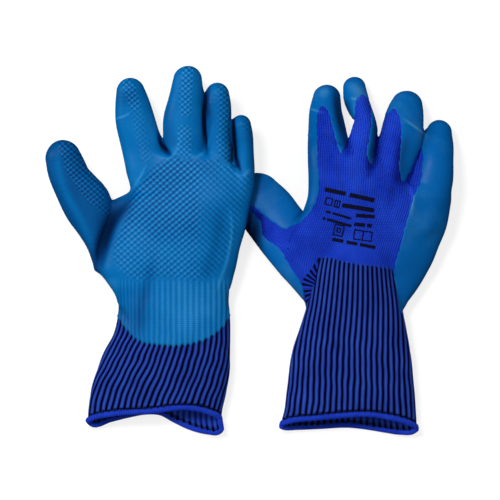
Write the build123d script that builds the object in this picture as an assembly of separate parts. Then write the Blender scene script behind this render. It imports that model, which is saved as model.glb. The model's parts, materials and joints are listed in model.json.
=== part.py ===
"""A pair of electrical insulating work gloves: knitted liners with dipped latex coatings and long rib cuffs.

Millimetres. +Z up. The pair lies flat on a surface at Z = 0, fingers towards +Y and cuffs towards -Y.
The left glove lies palm up and the right glove palm down. The left glove's little-finger edge passes
over the tip of the right thumb. The origin is the centre of the pair's footprint, on that surface.
"""

import os
from math import cos, hypot, radians, sin, sqrt

from build123d import *

# ---- Driving dimensions -----------------------------------------------------------------------------
LINER_WALL = 1.4  # knitted liner and rib cuff
COAT_WALL = 0.8  # dipped latex film
LAYER_GAP = 0.05  # keeps two layers that lie on each other from sharing a surface
KNUCKLE_GAP = 0.5  # between a finger stall and the hand, at the line where the stall bends
HINGE_LIFT = 0.6  # the bend line stands this far above the stall's root, so the root only swings away

CUFF_START_Y = -9.0  # the plain knit turns into the rib knit here
COAT_END_Y = -77.0  # the coating's lower edge, over the rib on the palm side
HEM_BAND = 4.5  # width of the overlocked hem
HEM_PROUD = 1.0  # the hem stands this far out of the cuff, outside and in
MOUTH_Y = -139.0  # the hem's edge at mid height
MOUTH_SLANT = 20.0  # degrees: the lower layer of the cuff reaches further than the upper one

ELASTIC_THREADS = 7
ELASTIC_SIDE = 0.7  # square section of the elastic thread
ELASTIC_PITCH = 10
ELASTIC_FIRST_Y = -124.0

PRINT_FILM = 0.12
DOME_STEPS = (0.35, 0.65, 0.86, 0.97)  # where a stall's domed tip has its sections, as shares of the dome
BACK_REACH = 9.0  # how far a stall is drawn back into the hand before it is cut at its root

# Sections of each glove's hand and cuff, square to Y:
# (y, centre x, half width, centre z, half height, roll in degrees; a positive roll lifts the +X edge)
SECTIONS = {
    "left": (
        (-158, -80, 57, 11, 11, 0),
        (-112, -75, 56, 13, 13, 0),
        (-83, -69, 52, 14.5, 14.5, 0),
        (-55, -64, 47, 15, 15, 0),
        (-40, -64, 45.5, 15.5, 15.5, 2),
        (-17, -68, 54, 18, 16.5, 5),
        (17, -58.5, 54, 20, 18, 8),
        (50, -49, 51, 20.5, 17, 8),
        (110, -49, 51, 21, 13, 8),
    ),
    "right": (
        (-158, 83, 56, 11, 11, 0),
        (-116, 84, 52.5, 13, 13, 0),
        (-83, 84.5, 48.5, 14.5, 14.5, 0),
        (-50, 86.5, 42, 15.5, 15.5, 0),
        (-25, 88, 56, 18, 17, -3),
        (8, 98, 60, 24, 18, -6),
        (41, 108, 59.5, 31, 17, -7),
        (75, 109, 60, 34, 15, -7),
        (115, 109, 60, 34, 13, -7),
    ),
}

# Each digit: root (on the bend line, mid height), tip, rise of the mid point above the straight line,
# half widths and half heights at root, middle and where the dome starts.
DIGITS = {
    "left": {
        "thumb": dict(root=(-141, 48, 20), tip=(-157, 92, 31), rise=-3, wide=(18.5, 17.5, 15), high=(12.5, 10.5, 9.5)),
        "index": dict(root=(-89.5, 88, 19), tip=(-100, 143, 28), rise=-2, wide=(15.6, 15, 13), high=(11.5, 10, 9)),
        "middle": dict(root=(-53.5, 89, 21), tip=(-50, 153, 33), rise=-3, wide=(15, 14.6, 12.6), high=(12, 10.5, 9)),
        "ring": dict(root=(-25, 88, 25), tip=(-26, 138, 36), rise=-3, wide=(10.4, 10, 9), high=(12.5, 12, 10.5)),
        "little": dict(root=(-4, 76, 28.5), tip=(-6, 112, 36), rise=-2, wide=(7.4, 7.2, 6.6), high=(11.5, 11, 9.5)),
    },
    "right": {
        "thumb": dict(root=(20, 25, 13), tip=(-7, 56, 6.6), rise=1, wide=(21.5, 20, 17.5), high=(10, 8, 5.6)),
        "index": dict(root=(63.5, 90, 32.5), tip=(64.5, 137, 9.2), rise=4, wide=(15.6, 14.6, 12), high=(12.5, 10, 8.2)),
        "middle": dict(root=(93.5, 90, 35), tip=(87.5, 143.5, 10), rise=5, wide=(10.4, 9.6, 9.2), high=(12.8, 11, 8.6)),
        "ring": dict(root=(122, 81, 33), tip=(131, 132, 9.2), rise=4, wide=(14.8, 14.4, 12.4), high=(12.5, 10, 8.2)),
        "little": dict(root=(152, 66, 26.5), tip=(158, 108, 9.2), rise=3, wide=(13.4, 13, 11.4), high=(12.3, 10, 8.2)),
    },
}

# Half width of the space cleared out of the hand for each root, to its -X and +X side, seen along the digit.
CLEAR_SIDES = {
    "left": {"thumb": (26, 22), "index": (26, 18), "middle": (17.8, 17), "ring": (12, 12.4), "little": (9.6, 20)},
    "right": {"thumb": (24, 28), "index": (24, 18), "middle": (12.8, 14), "ring": (16.6, 16.4), "little": (17, 24)},
}
CLEAR_LENGTH = 60.0

# The thenar: the swelling of the hand that carries the thumb. Its inner end: centre, half width, half height.
THENAR = {
    "left": dict(inner=(-88, -16, 18), wide=20, high=13),
    "right": dict(inner=(78, -12, 20), wide=20, high=13),
}

# Outline of the bare knit on the back of each hand, in plan, which the coating leaves free.
BARE_BACK = {
    "left": ((-112, -9), (-103, 20), (-96, 60), (-96, 110), (-8, 110), (-8, 55), (-14, 15), (-24, -9)),
    "right": ((35, -20), (52, 32), (56, 60), (56, 115), (142, 115), (142, 55), (130, 20), (122, -20)),
}
BARE_STRIP = dict(root=9.0, end=5.0, reach=0.76)  # bare strip on a digit's back: half widths, share of length

# Printed block on the back of the hand: plain bars and frames. (x, y, length, height) from the block's centre
PRINT_CENTRE = {"left": (-62, 20), "right": (86, 30)}
PRINT_BARS = (
    (-6, 17, 22, 3.2),
    (11, 12, 20, 3.2),
    (14, 6, 14, 3.2),
    (-12, 7, 18, 2.2),
    (-10, 2, 20, 2.2),
    (12, 0, 16, 3.0),
    (-2, -17, 34, 2.6),
)
PRINT_FRAMES = ((-8, -8, 9, 11), (11, -9, 19, 9))
PRINT_LINE = 1.0


def ellipse_at(centre, normal, half_wide, half_high, roll=0.0):
    """An elliptical face at centre, square to normal, its width level before it is rolled."""
    level = Vector(0, 0, 1).cross(normal)
    plane = Plane(origin=centre, x_dir=level, z_dir=normal)
    # A stretched circle starts at the same side whichever half axis is the longer one.
    return plane * Rot(0, 0, roll) * scale(Circle(1), by=(half_wide, half_high, 1))


def largest(shape):
    """The largest solid of a shape, without the slivers that a cut can leave."""
    return max(shape.solids(), key=lambda s: s.volume)


def hand_tube(side, offset):
    """The hand and cuff as one closed solid, its sides moved out by offset."""
    faces = [
        ellipse_at(Vector(x, y, z), Vector(0, 1, 0), wide + offset, high + offset, -roll)
        for y, x, wide, z, high, roll in SECTIONS[side]
    ]
    return loft(faces, ruled=True)


def plan_direction(digit):
    """The level direction from a digit's root to its tip."""
    step = Vector(*digit["tip"]) - Vector(*digit["root"])
    return Vector(step.X, step.Y, 0).normalized()


def root_plane(digit):
    """The upright plane of a digit's root: local x across the digit, local y up, local z along it."""
    along = plan_direction(digit)
    return Plane(origin=Vector(*digit["root"]), x_dir=along.cross(Vector(0, 0, 1)), z_dir=along)


def thenar(side, offset):
    """The swelling that joins the palm to the thumb's root, reaching past the root until it is cut."""
    digit, inner = DIGITS[side]["thumb"], THENAR[side]
    start, root = Vector(*inner["inner"]), Vector(*digit["root"])
    along = plan_direction(digit)
    middle = start * 0.42 + root * 0.58
    mid_normal = (along + (root - start).normalized()).normalized()
    wide, high = digit["wide"][0], digit["high"][0]
    faces = [
        ellipse_at(start, (root - start).normalized(), inner["wide"] + offset, inner["high"] + offset),
        ellipse_at(middle, mid_normal, 0.5 * (inner["wide"] + wide) + offset, 0.5 * (inner["high"] + high) + offset),
        ellipse_at(root + along * 4, along, wide + offset, high + offset),
    ]
    return loft(faces, ruled=True)


def cleared(side, name, setback, reach=CLEAR_LENGTH):
    """The block of space beyond a digit's root plane, starting setback behind it."""
    plane = root_plane(DIGITS[side][name])
    minus, plus = CLEAR_SIDES[side][name]
    block = Box(minus + plus, 140, reach + setback, align=(Align.MIN, Align.CENTER, Align.MIN))
    return plane * Pos(-minus, 0, -setback) * block


def hand_solid(side, offset, setback):
    """The hand, cuff and thenar as one solid, cut off at every digit's root."""
    solid = hand_tube(side, offset) + thenar(side, offset)
    for name in DIGITS[side]:
        solid -= cleared(side, name, setback)
    return largest(solid)


def digit_solid(digit, offset):
    """A digit's stall as one closed solid with a domed tip, its sides moved out by offset, cut at its root."""
    root, tip = Vector(*digit["root"]), Vector(*digit["tip"])
    bend = (root + tip) * 0.5 + Vector(0, 0, 2 * digit["rise"])
    length = (tip - root).length
    dome = digit["wide"][2] * 1.05

    def centre(t):
        return root * (1 - t) ** 2 + bend * (2 * t * (1 - t)) + tip * t**2

    def heading(t):
        return ((bend - root) * (1 - t) + (tip - bend) * t).normalized()

    def size(key, t):
        root_size, mid_size, end_size = digit[key]
        if t < 0.5:
            return root_size + (mid_size - root_size) * t / 0.5
        return mid_size + (end_size - mid_size) * (t - 0.5) / (0.5 - dome / length)

    dome_start = 1 - dome / length
    faces = []
    for t in (-BACK_REACH / length, 0.25, 0.5, dome_start):
        faces.append(ellipse_at(centre(t), heading(t), size("wide", t) + offset, size("high", t) + offset))
    wide, high = size("wide", dome_start), size("high", dome_start)
    for share in DOME_STEPS:
        t = dome_start + share * (dome + offset) / length
        shrink = sqrt(1 - share**2)
        faces.append(ellipse_at(centre(t), heading(t), (wide + offset) * shrink, (high + offset) * shrink))
    solid = loft(faces, ruled=True)
    behind = root_plane(digit) * Box(160, 160, 60, align=(Align.CENTER, Align.CENTER, Align.MAX))
    return largest(solid - behind)


def digit_hole(digit):
    """The passage from the hand's cavity into a stall, through the wall at its root."""
    wide, high = digit["wide"][0] - LINER_WALL, digit["high"][0] - LINER_WALL
    return root_plane(digit) * Pos(0, 0, -12) * extrude(Ellipse(wide, high), 18)


def beyond_y(y, slant=0.0):
    """Everything on the +Y side of an upright plane at y, tipped so that its upper edge lies further up."""
    block = Box(400, 400, 400, align=(Align.CENTER, Align.MIN, Align.CENTER))
    return Pos(0, y, 12) * Rot(-slant, 0, 0) * block


def bare_strip(side, digit):
    """The upright prism that leaves a strip of knit free on the back of a digit."""
    root, tip = Vector(*digit["root"]), Vector(*digit["tip"])
    length = hypot(tip.X - root.X, tip.Y - root.Y)
    reach = length * BARE_STRIP["reach"]
    half_root = min(BARE_STRIP["root"], 0.62 * digit["wide"][0])
    half_end = min(BARE_STRIP["end"], 0.45 * digit["wide"][2])
    outline = Polygon((-half_root, -4), (half_root, -4), (half_end, reach), (-half_end, reach), align=None)
    outline += Pos(0, reach) * Circle(half_end)
    along = plan_direction(digit)
    level = Plane(origin=root, x_dir=along.cross(Vector(0, 0, 1)), z_dir=Vector(0, 0, 1))
    up = 60 if side == "right" else -60
    # The prism starts on the digit's centre line, which the tip's height follows.
    drop = tip.Z - root.Z
    prism = extrude(level * outline, amount=up)
    slope = Rot(0, 0, 0)
    if side == "right":
        prism = Pos(0, 0, min(0.0, drop) * 0.55) * prism
    else:
        prism = Pos(0, 0, max(0.0, drop) * 0.55) * prism
    return slope * prism


def bare_back(side):
    """The prism that leaves the knit free on the back of the hand, and all of the cuff's back."""
    up = side == "right"
    outline = make_face(Polyline(*BARE_BACK[side], close=True))
    level = 27.0 if up else 17.0
    window = Pos(0, 0, level) * extrude(outline, amount=60 if up else -60)
    wrist_level = 17.0 if up else 16.0
    align = (Align.CENTER, Align.MAX, Align.MIN if up else Align.MAX)
    wrist = Pos(0, CUFF_START_Y, wrist_level) * Box(420, 90, 60, align=align)
    return window, wrist


def hand_parts(side):
    """Hand liner, rib cuff, hem, elastic threads, palm coating and back print of one glove."""
    outer = hand_solid(side, 0, KNUCKLE_GAP)
    inner = hand_solid(side, -LINER_WALL, KNUCKLE_GAP + LINER_WALL)
    shell = outer - inner
    for digit in DIGITS[side].values():
        shell -= digit_hole(digit)
    mouth = beyond_y(MOUTH_Y, MOUTH_SLANT)
    hem_end = beyond_y(MOUTH_Y + HEM_BAND, MOUTH_SLANT)
    rib_end = beyond_y(CUFF_START_Y)
    parts = {
        "hand_liner": largest(shell & rib_end),
        "rib_cuff": largest((shell & hem_end) - rib_end),
    }
    band = hand_tube(side, HEM_PROUD) - hand_tube(side, -LINER_WALL - HEM_PROUD)
    parts["cuff_hem"] = largest((band & mouth) - hem_end)

    film = hand_solid(side, LAYER_GAP + COAT_WALL, KNUCKLE_GAP) - hand_solid(side, LAYER_GAP, KNUCKLE_GAP - 6)
    film = film & beyond_y(COAT_END_Y)
    for cut in bare_back(side):
        film -= cut
    parts["palm_coating"] = largest(film)
    parts["cuff_elastics"] = elastic_threads(side)
    parts["back_print"] = back_print(side)
    return parts


def between(side, y):
    """The glove's section at y, read off its table of sections: centre x, half width, centre z, half height."""
    rows = SECTIONS[side]
    for low, high in zip(rows, rows[1:]):
        if low[0] <= y <= high[0]:
            share = (y - low[0]) / (high[0] - low[0])
            return [a + (b - a) * share for a, b in zip(low[1:5], high[1:5])]
    raise ValueError(f"no section at y = {y}")


def elastic_threads(side):
    """Elastic threads laid round the inside of the rib cuff, one level ring each."""
    rings = []
    for i in range(ELASTIC_THREADS):
        y = ELASTIC_FIRST_Y + i * ELASTIC_PITCH
        x, wide, z, high = between(side, y)
        set_in = LINER_WALL + 0.9
        ring = Ellipse(wide - set_in, high - set_in) - Ellipse(wide - set_in - ELASTIC_SIDE, high - set_in - ELASTIC_SIDE)
        plane = Plane(origin=(x, y, z), x_dir=(1, 0, 0), z_dir=(0, 1, 0))
        rings.append(largest(plane * extrude(ring, ELASTIC_SIDE)))
    return Compound(rings)


def back_print(side):
    """The printed block: a thin film of bars and frames on the bare knit of the back."""
    x, y = PRINT_CENTRE[side]
    marks = Sketch()
    for bar_x, bar_y, length, height in PRINT_BARS:
        marks += Pos(bar_x, bar_y) * Rectangle(length, height)
    for frame_x, frame_y, wide, high in PRINT_FRAMES:
        inner = Rectangle(wide - 2 * PRINT_LINE, high - 2 * PRINT_LINE)
        marks += Pos(frame_x, frame_y) * (Rectangle(wide, high) - inner)
    up = side == "right"
    column = Pos(x, y, 24 if up else 14) * extrude(marks, amount=60 if up else -60)
    film = hand_tube(side, LAYER_GAP + PRINT_FILM) - hand_tube(side, LAYER_GAP)
    return Compound((film & column).solids())


def digit_parts(side):
    """Liner stall and coating of every digit of one glove."""
    parts = {}
    for name, digit in DIGITS[side].items():
        stall = digit_solid(digit, 0) - digit_solid(digit, -LINER_WALL)
        film = digit_solid(digit, LAYER_GAP + COAT_WALL) - digit_solid(digit, LAYER_GAP)
        parts[f"{name}_liner"] = largest(stall)
        parts[f"{name}_coating"] = largest(film - bare_strip(side, digit))
    return parts


def all_parts():
    """Every node of the pair, by name."""
    parts = {}
    for side in DIGITS:
        for name, shape in (hand_parts(side) | digit_parts(side)).items():
            parts[f"{side}_{name}"] = shape
    return parts


def footprint_shift(shapes):
    """The move that brings the centre of the pair's footprint to the origin and its underside to Z = 0."""
    boxes = [shape.bounding_box() for shape in shapes]
    low = [min(getattr(box.min, axis) for box in boxes) for axis in "XYZ"]
    high = [max(getattr(box.max, axis) for box in boxes) for axis in "XYZ"]
    print("low", low, "high", high)
    return Pos(-0.5 * (low[0] + high[0]), -0.5 * (low[1] + high[1]), -low[2])


def main():
    os.makedirs("parts", exist_ok=True)
    parts = all_parts()
    shift = footprint_shift(parts.values())
    for name, shape in parts.items():
        export_step(shift * shape, f"parts/{name}.step")


if __name__ == "__main__":
    main()
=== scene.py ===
import json
import math

import bpy
import numpy as np
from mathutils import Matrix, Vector


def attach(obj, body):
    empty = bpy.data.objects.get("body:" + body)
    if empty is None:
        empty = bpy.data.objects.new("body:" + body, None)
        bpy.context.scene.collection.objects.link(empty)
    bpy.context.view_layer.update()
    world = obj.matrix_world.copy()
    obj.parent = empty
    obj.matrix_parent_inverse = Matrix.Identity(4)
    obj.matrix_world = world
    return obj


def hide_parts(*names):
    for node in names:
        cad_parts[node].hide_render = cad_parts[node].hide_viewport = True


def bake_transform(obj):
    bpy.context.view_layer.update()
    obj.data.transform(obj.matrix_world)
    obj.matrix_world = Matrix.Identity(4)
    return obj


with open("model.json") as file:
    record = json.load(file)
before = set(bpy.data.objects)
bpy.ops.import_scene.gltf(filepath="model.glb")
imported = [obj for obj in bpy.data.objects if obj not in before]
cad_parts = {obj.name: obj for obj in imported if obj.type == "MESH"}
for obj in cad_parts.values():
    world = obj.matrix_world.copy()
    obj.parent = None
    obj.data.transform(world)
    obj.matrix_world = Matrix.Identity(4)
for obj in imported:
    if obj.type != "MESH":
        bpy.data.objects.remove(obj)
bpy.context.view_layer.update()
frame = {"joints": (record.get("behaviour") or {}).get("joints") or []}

# ---- Layout: millimetres, in the frame that part.py draws the pair in; SHIFT brings it into the row frame ----
JOINTS = {j["name"]: j for j in frame["joints"]}
RIGHT_INDEX_HINGE = np.array([63.5, 90.0, 46.45])  # where part.py puts this hinge before it centres the pair
SHIFT = np.array(JOINTS["right_index_straighten"]["pos_m"]) * 1000 - RIGHT_INDEX_HINGE

STEP = 0.66  # mesh size of the skins
FINGERS = ("thumb", "index", "middle", "ring", "little")
RIBS = 48  # round one cuff
STITCH = 1.7  # height of one rib stitch
WALE = 1.9  # width of one column of the plain knit
COURSE = 1.3  # height of one stitch of the plain knit
LATTICE = (3.7, 3.25)  # pitch of the grip pattern on the palm and on the digits
SHRINK = 0.55  # the tables give the outside of the coating, so the knit lies this far in
FILM = 0.45  # how far the coating stands above the knit

# Hand bodies, square to Y: (y, left edge, right edge, centre z, half height, roll in degrees)
PALM = {
    "left": (
        (-160, -139, -20, 10.0, 10.5, 0), (-140, -135, -24, 10.8, 11, 0), (-113, -131, -18.3, 12.0, 12.5, 0),
        (-99, -126.2, -17.3, 12.8, 13.5, 0), (-84, -120.4, -16.6, 13.4, 14, 0),
        (-70, -112.5, -16.4, 13.9, 14.5, 0),
        (-58, -109.6, -16.8, 14.2, 14.8, 0), (-46, -109.2, -18.6, 14.6, 15, 0), (-37, -112, -18.0, 15, 15, 1),
        (-26, -120, -14.6, 15.6, 15.5, 2), (-18, -127.5, -12.4, 16.2, 16, 3), (-8, -126, -9.8, 17.3, 16.4, 4),
        (7, -122.5, -6, 18.5, 17, 6), (22, -120, -2.2, 19.6, 17.5, 8), (34, -118.5, 0.3, 20.3, 17.5, 8),
        (40, -114.5, 1.4, 20.4, 17.5, 8), (47, -101.5, 2.4, 20.5, 17, 8), (65, -102, 3.3, 20.5, 15.5, 8),
        (90, -104, 0, 21, 13, 8),
    ),
    "right": (
        (-56, 58, 118, 12, 8, 0), (-51, 50, 126.0, 12.5, 10.5, 0), (-43, 45, 131.6, 13, 12, -1),
        (-26, 34, 144.2, 15, 14, -3), (-9.5, 30, 152.6, 18.5, 16, -4), (7, 32.5, 159.8, 22.5, 17.5, -6),
        (24, 40, 164.8, 26.5, 18, -6.5), (40, 46.6, 167.7, 30, 17.5, -7), (57, 48.5, 169, 32.5, 16.5, -7),
        (75, 48.2, 169.7, 34, 14.5, -7), (95, 50, 165, 34, 12, -7),
    ),
}
# Where the hand ends between the fingers: (x, y)
WEB = {
    "left": ((-112, 92), (-88, 88), (-68, 79.5), (-54, 84), (-38.5, 79.5), (-25, 76), (-9, 65.5), (8, 60)),
    "right": ((40, 92), (62, 92), (77, 84), (89, 84), (101, 78), (114, 72), (127, 56), (150, 52), (172, 48)),
}
# Cuff tubes, square to Y: (y, left edge, right edge, centre z, half height, roll)
CUFF = {
    "left": PALM["left"],
    "right": (
        (-160, 22, 142, 10.0, 10.5, 0), (-145, 26, 138.6, 10.3, 10.5, 0), (-134, 29, 137.4, 11.2, 11.5, 0),
        (-117, 31.1, 136.5, 12.2, 12.5, 0), (-101, 32.8, 135.3, 13.2, 13.5, 0),
        (-84, 35.7, 132.8, 14.2, 14.5, 0),
        (-67, 41, 129.5, 15.2, 15.5, 0), (-51, 46.2, 126.6, 16.5, 16.3, 0), (-30, 51.5, 122, 20, 17.5, -1),
        (-14, 54, 119.5, 23.5, 18, -2), (0, 57, 118.5, 25, 17.5, -3), (18, 62, 118, 25, 15, -4),
    ),
}
CUFF_TOP = {"left": -20.0, "right": 2.0}
# Mouth of each cuff, upper and lower layer: (x, y)
MOUTH = {
    "left": (
        ((-135.5, -142.5), (-130, -140), (-116.2, -137), (-99.6, -135.3), (-83, -134.5), (-70.6, -132.8),
         (-58, -131.6), (-45.7, -132.4), (-33.2, -135.7), (-24.9, -139.9), (-20.5, -146)),
        ((-135.5, -142.5), (-131, -145.7), (-116.2, -142.3), (-101.3, -138.6), (-88, -136), (-74.7, -136.8),
         (-62.3, -143.2), (-49.8, -149), (-37.4, -152.3), (-28, -152.6), (-20.5, -146)),
    ),
    "right": (
        ((24.2, -146), (37.4, -141.9), (49.8, -140.7), (66.4, -139), (83, -137.4), (95.5, -137),
         (107.9, -138.2), (120.4, -140.7), (131.1, -144), (139.8, -148.6)),
        ((24.2, -146), (30, -148.4), (41.5, -148.6), (58.1, -148.2), (83, -146.9), (99.6, -149),
         (112, -151), (124.5, -152.7), (133.5, -152.4), (139.8, -148.6)),
    ),
}
# Digits: (x, y, z, half width, half height) along each, the last one where the round tip starts
DIGITS = {
    "left": {
        "thumb": ((-127, -16, 12, 3, 6), (-129.5, 2, 14, 6.5, 9), (-131.5, 19, 16, 13.5, 11.5),
                  (-133.8, 34, 18, 20.3, 12.5), (-141.8, 47, 20, 18.9, 12.5), (-148.3, 57, 22, 16.9, 12),
                  (-151.9, 66, 24, 16.2, 11), (-155.0, 75.1, 26.5, 14.9, 10)),
        "index": ((-84, 46, 18, 14, 10), (-86, 68, 18.5, 17, 12), (-88.5, 82, 18.5, 18, 11.5),
                  (-91.9, 93, 19.5, 17.2, 11), (-95.3, 106, 21.5, 16.3, 10.5), (-97.8, 121, 24.5, 13.9, 9.5),
                  (-99, 129.5, 26.5, 11.9, 8.8)),
        "middle": ((-52, 46, 19, 12, 11), (-53, 74, 20, 16, 12.5), (-55, 97, 22, 17.3, 11.5),
                   (-54.4, 109, 24.5, 16.8, 11), (-53.2, 121, 27, 15.1, 10.3), (-51.9, 131, 29.5, 13.5, 9.4),
                   (-51.3, 139.2, 31.5, 11.9, 8.8)),
        "ring": ((-29, 44, 21, 10, 11), (-26.4, 74, 23, 11, 13), (-26, 98, 27, 10.4, 12.5),
                 (-26.2, 112, 30.5, 10.7, 12), (-27.1, 121, 33, 10.9, 11), (-27.1, 127.2, 34.5, 9.8, 9.8)),
        "little": ((-11, 36, 24, 9, 11), (-4.3, 62, 26.5, 8.3, 11.5), (-3.9, 82, 29.5, 7.4, 11.5),
                   (-5.2, 93, 32, 7.7, 11), (-7.0, 102.4, 34, 7.6, 10)),
    },
    "right": {
        "thumb": ((60, -30, 14, 15, 10), (48, -14, 16.5, 21.5, 12), (34, 6, 16.5, 24.2, 12),
                  (22.3, 20.6, 13.8, 23.6, 10.3), (13, 33, 10.7, 23.2, 8.4), (6, 42.6, 8.3, 21.0, 6.8)),
        "index": ((63, 40, 30, 13, 12), (62.3, 70, 35, 14.6, 13.5), (64.1, 90, 32.5, 16.5, 12.5),
                  (63.6, 102, 27, 15.4, 11), (62.9, 112, 21.5, 13.9, 10), (63.7, 125.4, 14.5, 11.5, 8.8)),
        "middle": ((87, 38, 32, 11, 12), (90, 70, 37, 12.5, 13.5), (93.5, 89, 35.5, 12.5, 12.8),
                   (94.4, 98, 32, 11.0, 12), (94.7, 107, 27, 8.8, 11), (91.0, 116, 22, 9.9, 10),
                   (88.3, 124.5, 17, 10.4, 9), (86.9, 134, 13, 9.5, 8.4)),
        "ring": ((112, 34, 30, 12, 12), (117, 62, 35, 15.5, 13.5), (121.4, 80, 33, 17.6, 12.5),
                 (124.9, 92, 29, 17.9, 11.8), (127, 103, 24, 17.2, 10.8), (128.9, 112.5, 19, 15.3, 10),
                 (130.4, 119.4, 15, 12.9, 9)),
        "little": ((142, 22, 24, 15, 13), (149.3, 54, 27.5, 18.2, 13), (153.2, 73, 25.5, 15.9, 12),
                   (155.4, 84, 21.5, 13.9, 11), (156.3, 92, 17, 11.9, 9.8), (157, 96.4, 14.5, 10.7, 9)),
    },
}
FILLET = {"thumb": 5.0, "index": 4.0, "middle": 4.0, "ring": 4.0, "little": 4.0}
# How much wider each digit gets below its axis where two of them touch, and the y where that ends: left, right
BULGE = {
    "left": {"middle": ((0, 0), (2.0, 136)), "ring": ((2.0, 134), (3.4, 108)), "little": ((3.4, 110), (0, 0))},
    "right": {"middle": ((0, 0), (1.0, 94)), "ring": ((1.0, 94), (3.0, 104)), "little": ((3.0, 104), (0, 0))},
}
NO_BULGE = ((0, 0), (0, 0))
# Where each digit's own piece starts: (x, y) on its axis
SPLIT = {
    "left": {
        "thumb": (-138, 41), "index": (-90, 88), "middle": (-54, 88), "ring": (-26.3, 86), "little": (-5, 75),
    },
    "right": {
        "thumb": (24, 20), "index": (64.4, 95), "middle": (94.6, 97), "ring": (125.7, 96), "little": (154.6, 89),
    },
}
BEND = 16.0  # length from the split to the end point worked out for each digit in make_skins; the digit is not bent
BEND_START = 1.0  # how far past the split the start point worked out in make_skins lies
SECTION_POWER = 2.3  # of the superellipse that a hand or cuff is in section
ARC_POWER = SECTION_POWER / 2

# Outline of the bare knit on the right glove's back, in plan; the left glove has its mirror image underneath
KNIT_BACK = (
    (30, 15.8), (41.5, 22), (52.3, 34.4), (55.4, 42), (55.8, 75), (55.4, 100), (56.6, 113), (59.8, 118.2),
    (63.6, 115), (67.2, 102.5), (70.6, 90), (75.2, 78.4), (78.4, 84.5), (80.8, 91), (82.5, 99), (85, 105),
    (86.8, 110), (87.2, 116), (89, 123.4), (93.3, 127.7), (97, 125.8),
    (99.2, 120), (99.8, 106.7), (97.9, 90), (96.3, 75.1), (100.2, 68.6), (102, 76), (104, 92),
    (111, 108), (116, 114), (119.5, 115.6), (122.8, 110.8), (124.5, 98.4), (123.7, 81.8), (122.8, 65.2),
    (126, 54.6), (131, 62), (137, 75), (141.6, 83), (142.6, 78), (141.9, 69.3), (139.4, 52.7), (135.3, 44.4),
    (132.8, 36.1), (129.5, 23.7), (126.2, 11.2), (123.5, -1.2), (119.8, -13.7), (120.8, -30), (125.5, -52),
    (134, -70), (146, -110), (20, -110), (36, -60), (44.5, -42), (41.5, -27), (34.9, -17.8),
    (29.9, -9.5), (25.7, -1.2), (18.3, 4.6),
    (10.8, 11.2), (9.6, 21), (2, 30), (-2, 36), (3, 35), (10, 28.6), (18.3, 22.4), (26, 17),
)
# The coating's lower edge on the palm side of the left glove: (x, y)
COAT_EDGE = (
    (-114, -52), (-109.6, -56), (-103.8, -66), (-95.5, -75), (-87.2, -78.6), (-74.7, -80.2), (-62.3, -80.9),
    (-49.8, -79.4), (-37.4, -76), (-29, -71), (-20.8, -63.5), (-17.4, -56), (-12, -52),
)


# ---- Curves and fields ----
def through(rows, at):
    """Smooth values through rows of (key, value, ...), read at the keys in at."""
    rows = np.array(rows, float)
    key, val = rows[:, 0], rows[:, 1:]
    gap = np.diff(key)[:, None]
    slope = np.diff(val, axis=0) / gap
    middle = (slope[:-1] * gap[1:] + slope[1:] * gap[:-1]) / (gap[1:] + gap[:-1])
    lean = np.vstack([slope[:1], middle, slope[-1:]])
    at = np.clip(np.asarray(at, float), key[0], key[-1])
    i = np.clip(np.searchsorted(key, at) - 1, 0, len(key) - 2)
    h = ((at - key[i]) / (key[i + 1] - key[i]))[..., None]
    d = (key[i + 1] - key[i])[..., None]
    return (
        val[i] * (1 + 2 * h) * (1 - h) ** 2 + d * lean[i] * h * (1 - h) ** 2
        + val[i + 1] * h**2 * (3 - 2 * h) + d * lean[i + 1] * h**2 * (h - 1)
    )


def along_points(points, count):
    """A smooth path through points, as count evenly spaced rows."""
    points = np.array(points, float)
    span = np.r_[0, np.cumsum(np.linalg.norm(np.diff(points[:, :3], axis=0), axis=1))]
    return through(np.column_stack([span, points]), np.linspace(0, span[-1], count))


def ramp(x, low, high):
    t = np.clip((x - low) / (high - low), 0, 1)
    return t * t * (3 - 2 * t)


def smin(a, b, k):
    h = np.maximum(k - np.abs(a - b), 0) / k
    return np.minimum(a, b) - h * h * k * 0.25


def smax(a, b, k):
    return -smin(-a, -b, k)


def signed_power(value, power):
    return np.sign(value) * np.abs(value) ** power


def in_section(rows, x, y, z):
    """Place across and up from the middle of the section at y, and its half width and half height."""
    left, right, mid, half, roll = np.moveaxis(through(rows, y), -1, 0)
    cx, w = 0.5 * (left + right), 0.5 * (right - left)
    c, s = np.cos(np.radians(roll)), np.sin(np.radians(roll))
    return (x - cx) * c + (z - mid) * s, -(x - cx) * s + (z - mid) * c, w, half


def body_field(x, y, z, rows):
    """Distance from the surface of a body given by its sections square to Y. x, y and z broadcast."""
    across, up, w, half = in_section(rows, x, y, z)
    rho = (np.abs(across / w) ** SECTION_POWER + np.abs(up / half) ** SECTION_POWER) ** (1 / SECTION_POWER)
    return np.hypot(across, up) * (1 - 1 / np.maximum(rho, 1e-4))


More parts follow.
